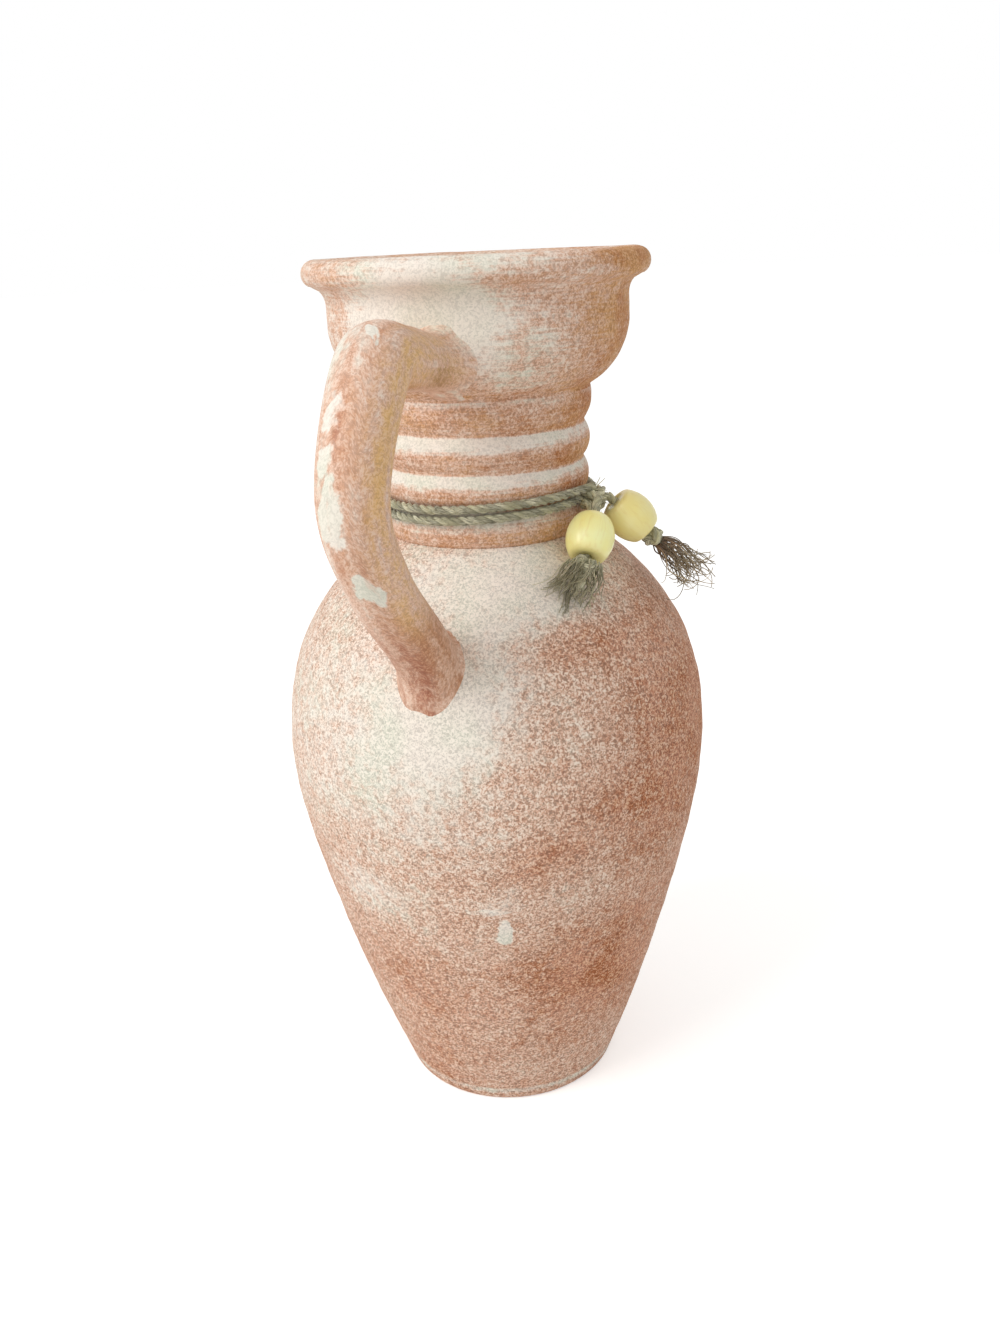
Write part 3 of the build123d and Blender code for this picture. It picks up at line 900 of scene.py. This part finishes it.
def neck_outline():
    """The neck from the seam up its ribs, over the lip and down through the cup and the throat."""
    outline = []
    for z in np.arange(SEAM_Z + EDGE, LIP_FROM, NECK_STEP):
        fade = min(1.0, (z - SEAM_Z) / NECK_FADE)
        ripple = fade * thrown_ripple(z * NECK_RINGS) * NECK_RING_SHARE
        outline.append((felt_radius(neck_tree, z) + ripple, z))
    outline += [felt_lip(turn) for turn in LIP_TURNS]
    for z in np.linspace(RIM_Z - UNDER_RIM, SEAM_Z + EDGE, THROAT_STEPS):
        outline.append((felt_radius(neck_tree, z, inside=True), z))
    return outline + [outline[0]]


jug_neck = turned_shape("jug_neck", neck_outline(), NECK_SIDES)
print("neck:", len(jug_neck.data.polygons), "faces")

# %% Unevenness of the hand
WOBBLE = 0.7 * MM
WOBBLE_SIZE = 28 * MM
SEAM_FADE = 14 * MM
SKIN_DEPTH = 2 * MM


def hand_thrown(piece):
    """Displaces a turned piece by a soft cloud, less near the seam, the foot and on the inside."""
    skin = piece.vertex_groups.new(name="skin")
    for vertex in piece.data.vertices:
        out = vertex.co.to_2d().length > clay_radius(vertex.co.z) - SKIN_DEPTH
        fade = min(1.0, abs(vertex.co.z - SEAM_Z) / SEAM_FADE, vertex.co.z / SEAM_FADE)
        skin.add([vertex.index], fade if out else 0.0, "REPLACE")
    cloud = bpy.data.textures.new(piece.name + "_cloud", "CLOUDS")
    cloud.noise_scale = WOBBLE_SIZE
    push = piece.modifiers.new("unevenness", "DISPLACE")
    push.texture = cloud
    push.texture_coords = "LOCAL"
    push.strength = WOBBLE
    push.mid_level = 0.5
    push.vertex_group = "skin"
    bpy.context.view_layer.objects.active = piece
    bpy.ops.object.modifier_apply(modifier=push.name)


hand_thrown(jug_body)
hand_thrown(jug_neck)
print("body and neck are uneven by up to %.2f mm" % (WOBBLE / 2 / MM))

# %% [markdown]
# ## Handle
#
# The handle is a pulled roll of clay. Its upper end is pressed into the cup, its lower end is thumbed on to
# the shoulder, and the wet clay is smeared over both joins, so there is no sharp corner. It is made as a grid
# of oval rings along its line. Each lengthwise line is cut where it meets the clay, and a short curve carries
# it over to the skin. The roots end inside the clay's wall, so nothing shows in the cup.

# %% The handle's roll
CUP_R, CUP_Z = 51.8, 298.0
SHOULDER_R, SHOULDER_Z = 69.4, 190.0
# Each place is its distance from the axis, its height, and the roll's width and depth, in millimetres.
HANDLE_PLACES = (
    (CUP_R - 21.8, CUP_Z - 13.8, 21.5, 14.0),
    (75.8, 292.3, 22.0, 19.4),
    (94.6, 290.8, 22.4, 20.0),
    (113.6, 259.0, 20.4, 19.6),
    (100.2, 230.7, 19.3, 19.6),
    (SHOULDER_R + 0.8, SHOULDER_Z + 8.8, 20.3, 20.1),
    (SHOULDER_R - 6.5, SHOULDER_Z - 14.1, 22.1, 21.5),
)
HANDLE_AROUND = 64
HANDLE_ALONG = 400
THUMBED_Z = 182.0 * MM


def through(values, at):
    """A smooth cubic through evenly numbered values, read at many places."""
    values = np.array(values)
    slope = np.gradient(values)
    low = np.clip(np.floor(at).astype(int), 0, len(values) - 2)
    t = at - low
    a, b = values[low], values[low + 1]
    ma, mb = slope[low], slope[low + 1]
    return ((2 * t**3 - 3 * t**2 + 1) * a + (t**3 - 2 * t**2 + t) * ma + (3 * t**2 - 2 * t**3) * b
            + (t**3 - t**2) * mb)


chords = [math.dist(a[:2], b[:2]) for a, b in zip(HANDLE_PLACES, HANDLE_PLACES[1:])]
knots = np.concatenate([[0], np.cumsum(np.sqrt(chords))])
at = np.interp(np.linspace(0, knots[-1], HANDLE_ALONG), knots, range(len(knots)))
places = np.array(HANDLE_PLACES) * MM
centre = np.stack([np.zeros(HANDLE_ALONG), -through(places[:, 0], at), through(places[:, 1], at)], axis=1)
widths, depths = through(places[:, 2], at), through(places[:, 3], at)
upper = np.cross(np.array([[1.0, 0, 0]]), unit(np.gradient(centre, axis=0)))
handle_turns = np.linspace(0, 2 * math.pi, HANDLE_AROUND, endpoint=False)
raw_lines = []
for turn in handle_turns:
    squeezed = 1 + 0.012 * math.cos(3 * turn + 0.6) + 0.008 * math.cos(5 * turn)
    line = centre + np.outer(widths / 2 * math.cos(turn) * squeezed, (1, 0, 0))
    line = line + upper * (depths / 2 * math.sin(turn) * squeezed)[:, None]
    outside = np.linalg.norm(line[:, :2], axis=1) > clay_radius(line[:, 2])
    out = np.flatnonzero(outside & (line[:, 2] > THUMBED_Z))
    raw_lines.append(line[out[0] : out[-1] + 1])
print("handle: %d lines along a roll of %.0f mm" % (HANDLE_AROUND, run_of(centre)[-1] / MM))

# %% Roots smeared onto the clay
SMEAR_TOP, SMEAR_LOW = 6.5 * MM, 5.0 * MM
SMEAR_POINTS = 11
SMEAR_FLARE = 0.8
SMEAR_SIDE = 0.8
DRIP, DRIP_W, DRIP_TURN = 0.6, 0.2, math.radians(280)
SUNK = 1.7 * MM
CAP_SHARES = (0.05, 0.3, 0.55, 0.8)


def on_skin(point):
    """The place in the clay at a point's height: under the skin, no deeper than half of the wall."""
    reach = math.hypot(point[0], point[1])
    skin = clay_radius(point[2])
    wall = skin - np.interp(point[2], skin_heights, inner_radii)
    near = (skin - min(SUNK, wall / 2)) / reach
    return np.array([point[0] * near, point[1] * near, point[2]])


def root_cap(rim):
    """Rings that close a root inside the clay's wall, from its middle out to its rim."""
    middle = rim.mean(axis=0)
    return np.array([[on_skin(middle + (spot - middle) * share) for spot in rim] for share in CAP_SHARES])


def smeared(line, middle, size):
    """A short curve from the clay to a line that starts at the skin, flared away from the root's middle."""
    run = run_of(line)
    far = places_on(line, size)
    foot = on_skin(line[0] + unit(line[0] - middle) * size * SMEAR_FLARE)
    share = np.linspace(0, 1, SMEAR_POINTS)[:, None]
    bend = (1 - share) ** 2 * foot + 2 * share * (1 - share) * line[0] + share**2 * far
    return np.concatenate([bend[:-1], line[run > size]]), len(bend) - 1


def smear_sizes(turn):
    """How far the clay is smeared at the top and at the bottom, at one angle round the roll."""
    ragged = max(0.0, -math.sin(turn)) * (0.2 * math.sin(5 * turn + 1) + 0.12 * math.sin(11 * turn))
    from_drip = (turn - DRIP_TURN + math.pi) % (2 * math.pi) - math.pi
    top_size = SMEAR_TOP * (1 + SMEAR_SIDE * max(0.0, math.cos(turn)) + ragged)
    return top_size, SMEAR_LOW * (1 + DRIP * math.exp(-((from_drip / DRIP_W) ** 2)))


# %% Handle
HANDLE_RINGS = 130
HANDLE_R = 10.0

top_middle = np.mean([line[0] for line in raw_lines], axis=0)
low_middle = np.mean([line[-1] for line in raw_lines], axis=0)
handle_lines = []
for turn, line in zip(handle_turns, raw_lines):
    top_size, low_size = smear_sizes(turn)
    line, top_count = smeared(line, top_middle, top_size)
    line, low_count = smeared(line[::-1], low_middle, low_size)
    line = line[::-1]
    middle = evenly_many(line[top_count : len(line) - low_count], HANDLE_RINGS)
    handle_lines.append(np.concatenate([line[:top_count], middle, line[len(line) - low_count :]]))
grid = np.array(handle_lines).transpose(1, 0, 2)
pulled = np.pad(run_of(grid.mean(axis=1)) / MM, len(CAP_SHARES), mode="edge")
grid = np.concatenate([root_cap(grid[0]), grid, root_cap(grid[-1])[::-1]])
# The finish reads the handle as a straight roll: round it, and millimetres along it.
round_x = np.broadcast_to(HANDLE_R * np.cos(handle_turns), grid.shape[:2])
round_y = np.broadcast_to(HANDLE_R * np.sin(handle_turns), grid.shape[:2])
length_z = np.broadcast_to(pulled[:, None], grid.shape[:2])
index = np.arange(grid.shape[0] * HANDLE_AROUND).reshape(grid.shape[:2])
pull = np.stack([round_x, round_y, length_z], axis=-1)
jug_handle = mesh_piece("jug_handle", grid, ring_faces(index), {"pull": pull})
print("handle:", len(jug_handle.data.polygons), "faces")

# %% [markdown]
# ## Lime-washed earthenware
#
# Earthenware is a soft orange clay, fired without a glaze. The potter brushed thin lime over it and rubbed it
# down, so the lime stays in the pores as a dense pale speckle, with a film between the grains. It is thicker
# in some places and nearly gone in others. The finish therefore has a map of how much lime is left, and the
# ground, the film and the grains all follow that map. Broad patches in that map also carry painted light and
# shade: whiter towards the lamp and barer away from it. Real grains are about half a millimetre, and they are
# drawn a little coarser so that they show.

# %% How much lime is left
# Sizes in these finishes are in millimetres.
MOTTLE = 3.2
BROAD = 50.0
DRIFT = 14.0
SOFT_EDGE, HARD_EDGE = 0.9, 0.3


def place_in_mm(tree):
    """The place on a piece in millimetres."""
    coords = add(tree, "TexCoord", output="Object")
    return add(tree, "VectorMath", {0: coords, 1: (1 / MM,) * 3}, operation="MULTIPLY")


def lime_left(tree, spot, level, swing, uneven):
    """A map of the lime that is left: a level, its slow swing over the clay and its unevenness."""
    levels = span(0.32, 0.68, level - swing, level + swing)
    kept = cloudy(tree, spot, BROAD, levels, Detail=4.0, Roughness=0.55)
    part = cloudy(tree, spot, MOTTLE, span(0.3, 0.7, -uneven, uneven), Detail=3.0, Distortion=0.6)
    return add(tree, "Math", {0: kept, 1: part}, operation="ADD")


def patched(tree, spot, kept, rows, soft, ragged, drift):
    """The map with patches of more or less lime: how soft, and how far and how finely they are torn."""
    torn = add(tree, "TexNoise", {"Vector": spot, "Scale": 1 / drift, "Detail": 4.0}, output="Color")
    torn = add(tree, "VectorMath", {0: torn, 1: (0.5, 0.5, 0.5)}, operation="SUBTRACT")
    torn = add(tree, "VectorMath", {0: torn, 1: (2 * ragged,) * 3, 2: spot}, operation="MULTIPLY_ADD")
    for centre, size, amount in rows:
        offset = add(tree, "VectorMath", {0: torn, 1: centre}, operation="SUBTRACT")
        shrunk = add(tree, "VectorMath", {0: offset, 1: size}, operation="DIVIDE")
        reach = add(tree, "VectorMath", {0: shrunk}, output="Value", operation="LENGTH")
        part = add(tree, "MapRange", {"Value": reach, **span(1 - soft, 1.0, amount, 0.0)}, **SMOOTH)
        kept = add(tree, "Math", {0: kept, 1: part}, operation="ADD")
    return kept


# %% Patches
def patches(rows, roll=None):
    """Patches on the turned clay or round a roll: height, angle in degrees, half sizes and what each adds."""
    made = []
    for height, angle, wide, tall, amount in rows:
        reach = roll or float(clay_radius(height * MM)) / MM
        turn = math.radians(angle)
        centre = (reach * math.cos(turn), reach * math.sin(turn), height)
        made.append((centre, (wide, wide, tall), amount))
    return made


# %% Lime over clay
# Real grains are about 0.5 mm.
GRAIN = 0.85
GRAIN_BUMP = 0.25 * MM
COOL = 24.0


def limed_ware(tree, spot, kept, clay, grit, rough):
    """The shader of rubbed lime over a clay colour: a ground that follows the map, and grains on it."""
    film = add(tree, "MapRange", {"Value": kept, **span(-0.1, 0.6)}, **SMOOTH)
    thick = add(tree, "MapRange", {"Value": kept, **span(0.42, 1.0, 0.0, 0.95)}, **SMOOTH)
    cool = cloudy(tree, spot, COOL, span(0.4, 0.65), Detail=2.0)
    chalk = layered(tree, "#EDE4D8", (cool, "#DFDFCE"))
    ground = layered(tree, clay, (film, "#DCB298"), (thick, chalk))
    fine = add(tree, "TexNoise", {"Vector": spot, "Scale": 1 / GRAIN, "Detail": 1.0, "Distortion": 1.0})
    pits = add(tree, "MapRange", {"Value": fine, **span(0.36, 0.52, 1 - grit, 1.0)})
    shown = add(tree, "MapRange", {"Value": thick, **span(0.0, 1.0, 1.0, 0.5)})
    pitted = {MIX_BY: shown, MIX_A: ground, MIX_B: pits}
    ground = add(tree, "Mix", pitted, MIX_OUT, data_type="RGBA", blend_type="MULTIPLY")
    lime = add(tree, "MapRange", {"Value": fine, **span(0.5, 0.64, 0.0, 1.4 * grit)}, **SMOOTH)
    pale = layered(tree, "#EAC9A6", (film, "#F8EEE1"))
    skin = layered(tree, ground, (lime, pale))
    bump = add(tree, "Bump", {"Strength": 1.3 * grit, "Distance": GRAIN_BUMP, "Height": fine})
    ware = add(tree, "BsdfPrincipled", {"Base Color": skin, "Roughness": rough, "Normal": bump})
    add(tree, "OutputMaterial", {"Surface": ware})


# %% Body finish
# Rows are partly lime and partly painted light and shade: the broad patches are whiter on the side towards the
# lamp and up the shoulder, and barer on the far side and low down.
BODY_LIME_AND_LIGHT_PATCHES = patches((
    (199, -44, 30, 10, -0.2), (128, -60, 24, 15, -0.35), (150, -62, 44, 26, -0.12), (110, -72, 10, 10, 0.2),
    (109, -113, 36, 15, 0.28), (175, -86, 30, 22, 0.38), (192, -74, 26, 28, 0.38), (216, -60, 70, 24, 0.6),
    (170, -114, 76, 74, 0.4), (150, -84, 56, 44, 0.15), (160, -2, 70, 90, -0.4), (142, -35, 46, 50, -0.12),
    (70, -112, 40, 34, -0.08), (60, -68, 50, 36, -0.12), (68, -36, 50, 54, -0.25), (18, -78, 40, 16, 0.12),
))
BODY_CHIPS = patches(((97, -72, 3.4, 7.6, 0.7), (107, -76, 9.0, 1.6, 0.25)))
BODY_BAND = 9.0
BODY_WARM = 18.0
LESS_LIME_FROM, LESS_LIME_TO = 20.0, 120.0
SCORE_Z = 5.4


def body_finish():
    """Limed clay of the body, with faint bands from the wheel, less lime towards the foot, and broad lime
    patches that are partly painted light and shade.
    """
    finish, tree = new_finish("limewashed_body_clay")
    spot = place_in_mm(tree)
    kept = lime_left(tree, spot, 0.44, 0.14, 0.17)
    # Lime patches, partly painted light and shade.
    kept = patched(tree, spot, kept, BODY_LIME_AND_LIGHT_PATCHES, SOFT_EDGE, 6.0, DRIFT)
    kept = patched(tree, spot, kept, BODY_CHIPS, HARD_EDGE, 2.2, 4.0)
    flat = add(tree, "VectorMath", {0: spot, 1: (0.1, 0.1, 1.0)}, operation="MULTIPLY")
    bands = cloudy(tree, flat, BODY_BAND, span(0.3, 0.7, -0.06, 0.06), Detail=3.0)
    height = add(tree, "SeparateXYZ", {"Vector": spot}, output="Z")
    # Less lime, so darker clay, towards the foot.
    rubbed = add(tree, "MapRange", {"Value": height, **span(LESS_LIME_FROM, LESS_LIME_TO, -0.18, 0.0)})
    off = add(tree, "Math", {0: height, 1: SCORE_Z}, operation="SUBTRACT")
    off = add(tree, "Math", {0: off}, operation="ABSOLUTE")
    scored = add(tree, "MapRange", {"Value": off, **span(0.5, 2.2, 0.5, 0.0)})
    for part in (bands, rubbed, scored):
        kept = add(tree, "Math", {0: kept, 1: part}, operation="ADD")
    warm = cloudy(tree, spot, BODY_WARM, span(0.38, 0.62), Detail=4.0)
    clay = layered(tree, "#B26638", (warm, "#CA8A6C"))
    limed_ware(tree, spot, kept, clay, grit=0.48, rough=0.9)
    return finish


# %% Neck finish
# Rows are partly lime and partly painted light and shade: the lip's top is whiter where it faces up, and the
# lip, the cup and the ribs are barer on the side away from the lamp.
NECK_LIME_AND_LIGHT_PATCHES = patches((
    (301, -92, 38, 21, 1.3), (290, -60, 50, 18, 0.1), (292, -8, 46, 34, -0.55),
    (318, -75, 60, 6, 0.4), (318, -8, 44, 9, -0.62), (250, -6, 30, 36, -0.3),
))
RIBS_TOP, RIBS_FADE = 281.0, 4.0
OUTSIDE_FADE = 4.0
THROWING_LINE = 0.7
NECK_WARM = 20.0


def neck_finish():
    """Limed clay of the neck: lime lies on each rib's upper slope, partly as painted light from above with
    painted shade under each rib; patches of lime are partly painted light and shade; and fine lines of the
    wheel go round.
    """
    finish, tree = new_finish("limewashed_neck_clay")
    spot = place_in_mm(tree)
    kept = lime_left(tree, spot, 0.54, 0.16, 0.18)
    # Lime patches, partly painted light and shade.
    kept = patched(tree, spot, kept, NECK_LIME_AND_LIGHT_PATCHES, SOFT_EDGE, 5.0, DRIFT)
    # Lime on each rib's upper slope and bare clay under it: partly lime, partly painted light from above and
    # painted shade under each rib.
    normal = add(tree, "NewGeometry", output="Normal")
    upward = add(tree, "SeparateXYZ", {"Vector": normal}, output="Z")
    slope = add(tree, "MapRange", {"Value": upward, **span(-0.15, 0.65, -0.24, 0.8)}, **SMOOTH)
    height = add(tree, "SeparateXYZ", {"Vector": spot}, output="Z")
    on_ribs = add(tree, "MapRange", {"Value": height, **span(RIBS_TOP - RIBS_FADE, RIBS_TOP, 1.0, 0.0)})
    across = add(tree, "VectorMath", {0: spot, 1: (1.0, 1.0, 0.0)}, operation="MULTIPLY")
    outside = add(tree, "VectorMath", {0: across, 1: normal}, output="Value", operation="DOT_PRODUCT")
    outside = add(tree, "MapRange", {"Value": outside, **span(0.0, OUTSIDE_FADE)})
    on_ribs = add(tree, "Math", {0: on_ribs, 1: outside}, operation="MULTIPLY")
    kept = add(tree, "Math", {0: slope, 1: on_ribs, 2: kept}, operation="MULTIPLY_ADD")
    flat = add(tree, "VectorMath", {0: spot, 1: (0.05, 0.05, 1.0)}, operation="MULTIPLY")
    lines = cloudy(tree, flat, THROWING_LINE, span(0.3, 0.7, -0.17, 0.14), Detail=2.0)
    kept = add(tree, "Math", {0: kept, 1: lines}, operation="ADD")
    warm = cloudy(tree, spot, NECK_WARM, span(0.38, 0.62), Detail=4.0)
    clay = layered(tree, "#B87440", (warm, "#D09A62"))
    limed_ware(tree, spot, kept, clay, grit=0.3, rough=0.88)
    return finish


# %% Handle finish
# Soft lime patches along the roll. Two rows are painted light: a painted highlight on top of the roll at 48 mm,
# and painted light along its edge towards the lamp at 80 mm. The row at 20 mm takes lime away under the brown
# smear.
HANDLE_LIME_AND_HIGHLIGHTS = patches((
    (2, 0, 30.0, 12.0, 0.4), (48, -110, 14.0, 18.0, 0.35), (80, -132, 10.0, 40.0, 0.3),
    (145, -60, 18.0, 26.0, -0.35), (20, 35, 10.0, 16.0, -0.2),
), HANDLE_R)
# A brown smear of clay with painted shade, where the upper root meets the cup on the side away from the lamp.
HANDLE_SMEAR_AND_SHADE = patches(((20, 35, 12.0, 20.0, 0.6),), HANDLE_R)
HANDLE_CHIPS = patches((
    (45.6, -82, 3.0, 2.6, 0.7), (68, -110, 4.4, 5.5, 0.6), (79, -113, 4.0, 5.0, 0.6),
    (92, -106, 4.6, 10.0, 0.65), (113.6, -76, 4.8, 6.0, 0.7),
), HANDLE_R)
PULL_STREAK = 4.0
PULL_DRAWN = (1.0, 1.0, 0.12)
SHADED_SIDE_FROM, SHADED_SIDE_TO = 3.0, 9.0
RED_FROM, RED_TO = 118.0, 146.0


def handle_finish():
    """Clay that was pulled and smoothed wet: streaks along the roll and lime in worn patches, with a painted
    highlight on top and painted light along the side towards the lamp, painted shade tinted ochre on the far
    side, and a brown smear with painted shade at the upper root.
    """
    finish, tree = new_finish("limewashed_handle_clay")
    spot = add(tree, "Attribute", output="Vector", attribute_name="pull")
    drawn = add(tree, "VectorMath", {0: spot, 1: PULL_DRAWN}, operation="MULTIPLY")
    grain = {"Scale": 1 / PULL_STREAK, "Detail": 4.0, "Roughness": 0.6}
    streak = add(tree, "TexNoise", {"Vector": drawn, **grain})
    kept = lime_left(tree, spot, 0.24, 0.14, 0.18)
    # Lime patches, with a painted highlight and painted light on the lamp's side.
    kept = patched(tree, spot, kept, HANDLE_LIME_AND_HIGHLIGHTS, SOFT_EDGE, 4.0, DRIFT)
    kept = patched(tree, spot, kept, HANDLE_CHIPS, HARD_EDGE, 4.0, 4.5)
    part = add(tree, "MapRange", {"Value": streak, **span(0.35, 0.7, -0.15, 0.35)})
    kept = add(tree, "Math", {0: kept, 1: part}, operation="ADD")
    warm = add(tree, "MapRange", {"Value": streak, **span(0.3, 0.62)})
    across = add(tree, "SeparateXYZ", {"Vector": spot}, output="X")
    # Painted shade: the side of the roll away from the lamp is tinted ochre, as it looks in shade.
    shaded_side_ochre = add(tree, "MapRange", {"Value": across, **span(SHADED_SIDE_FROM, SHADED_SIDE_TO, 0.0, 0.8)}, **SMOOTH)
    along = add(tree, "SeparateXYZ", {"Vector": spot}, output="Z")
    red = add(tree, "MapRange", {"Value": along, **span(RED_FROM, RED_TO, 0.0, 0.75)}, **SMOOTH)
    # The brown smear at the upper root, partly painted shade.
    smear_and_shade = patched(tree, spot, 0.0, HANDLE_SMEAR_AND_SHADE, SOFT_EDGE, 5.0, DRIFT)
    layers = ((warm, "#D79F76"), (shaded_side_ochre, "#EABE78"), (red, "#A35C3F"), (smear_and_shade, "#8C5F34"))
    limed_ware(tree, spot, kept, layered(tree, "#B57450", *layers), grit=0.22, rough=0.5)
    return finish


# %% Finish the clay
for piece, node, clay in (
    (jug_body, "body", body_finish()),
    (jug_neck, "neck", neck_finish()),
    (jug_handle, "handle", handle_finish()),
):
    dress(piece, clay, "jug", node)
print("clay finished on body, neck and handle")
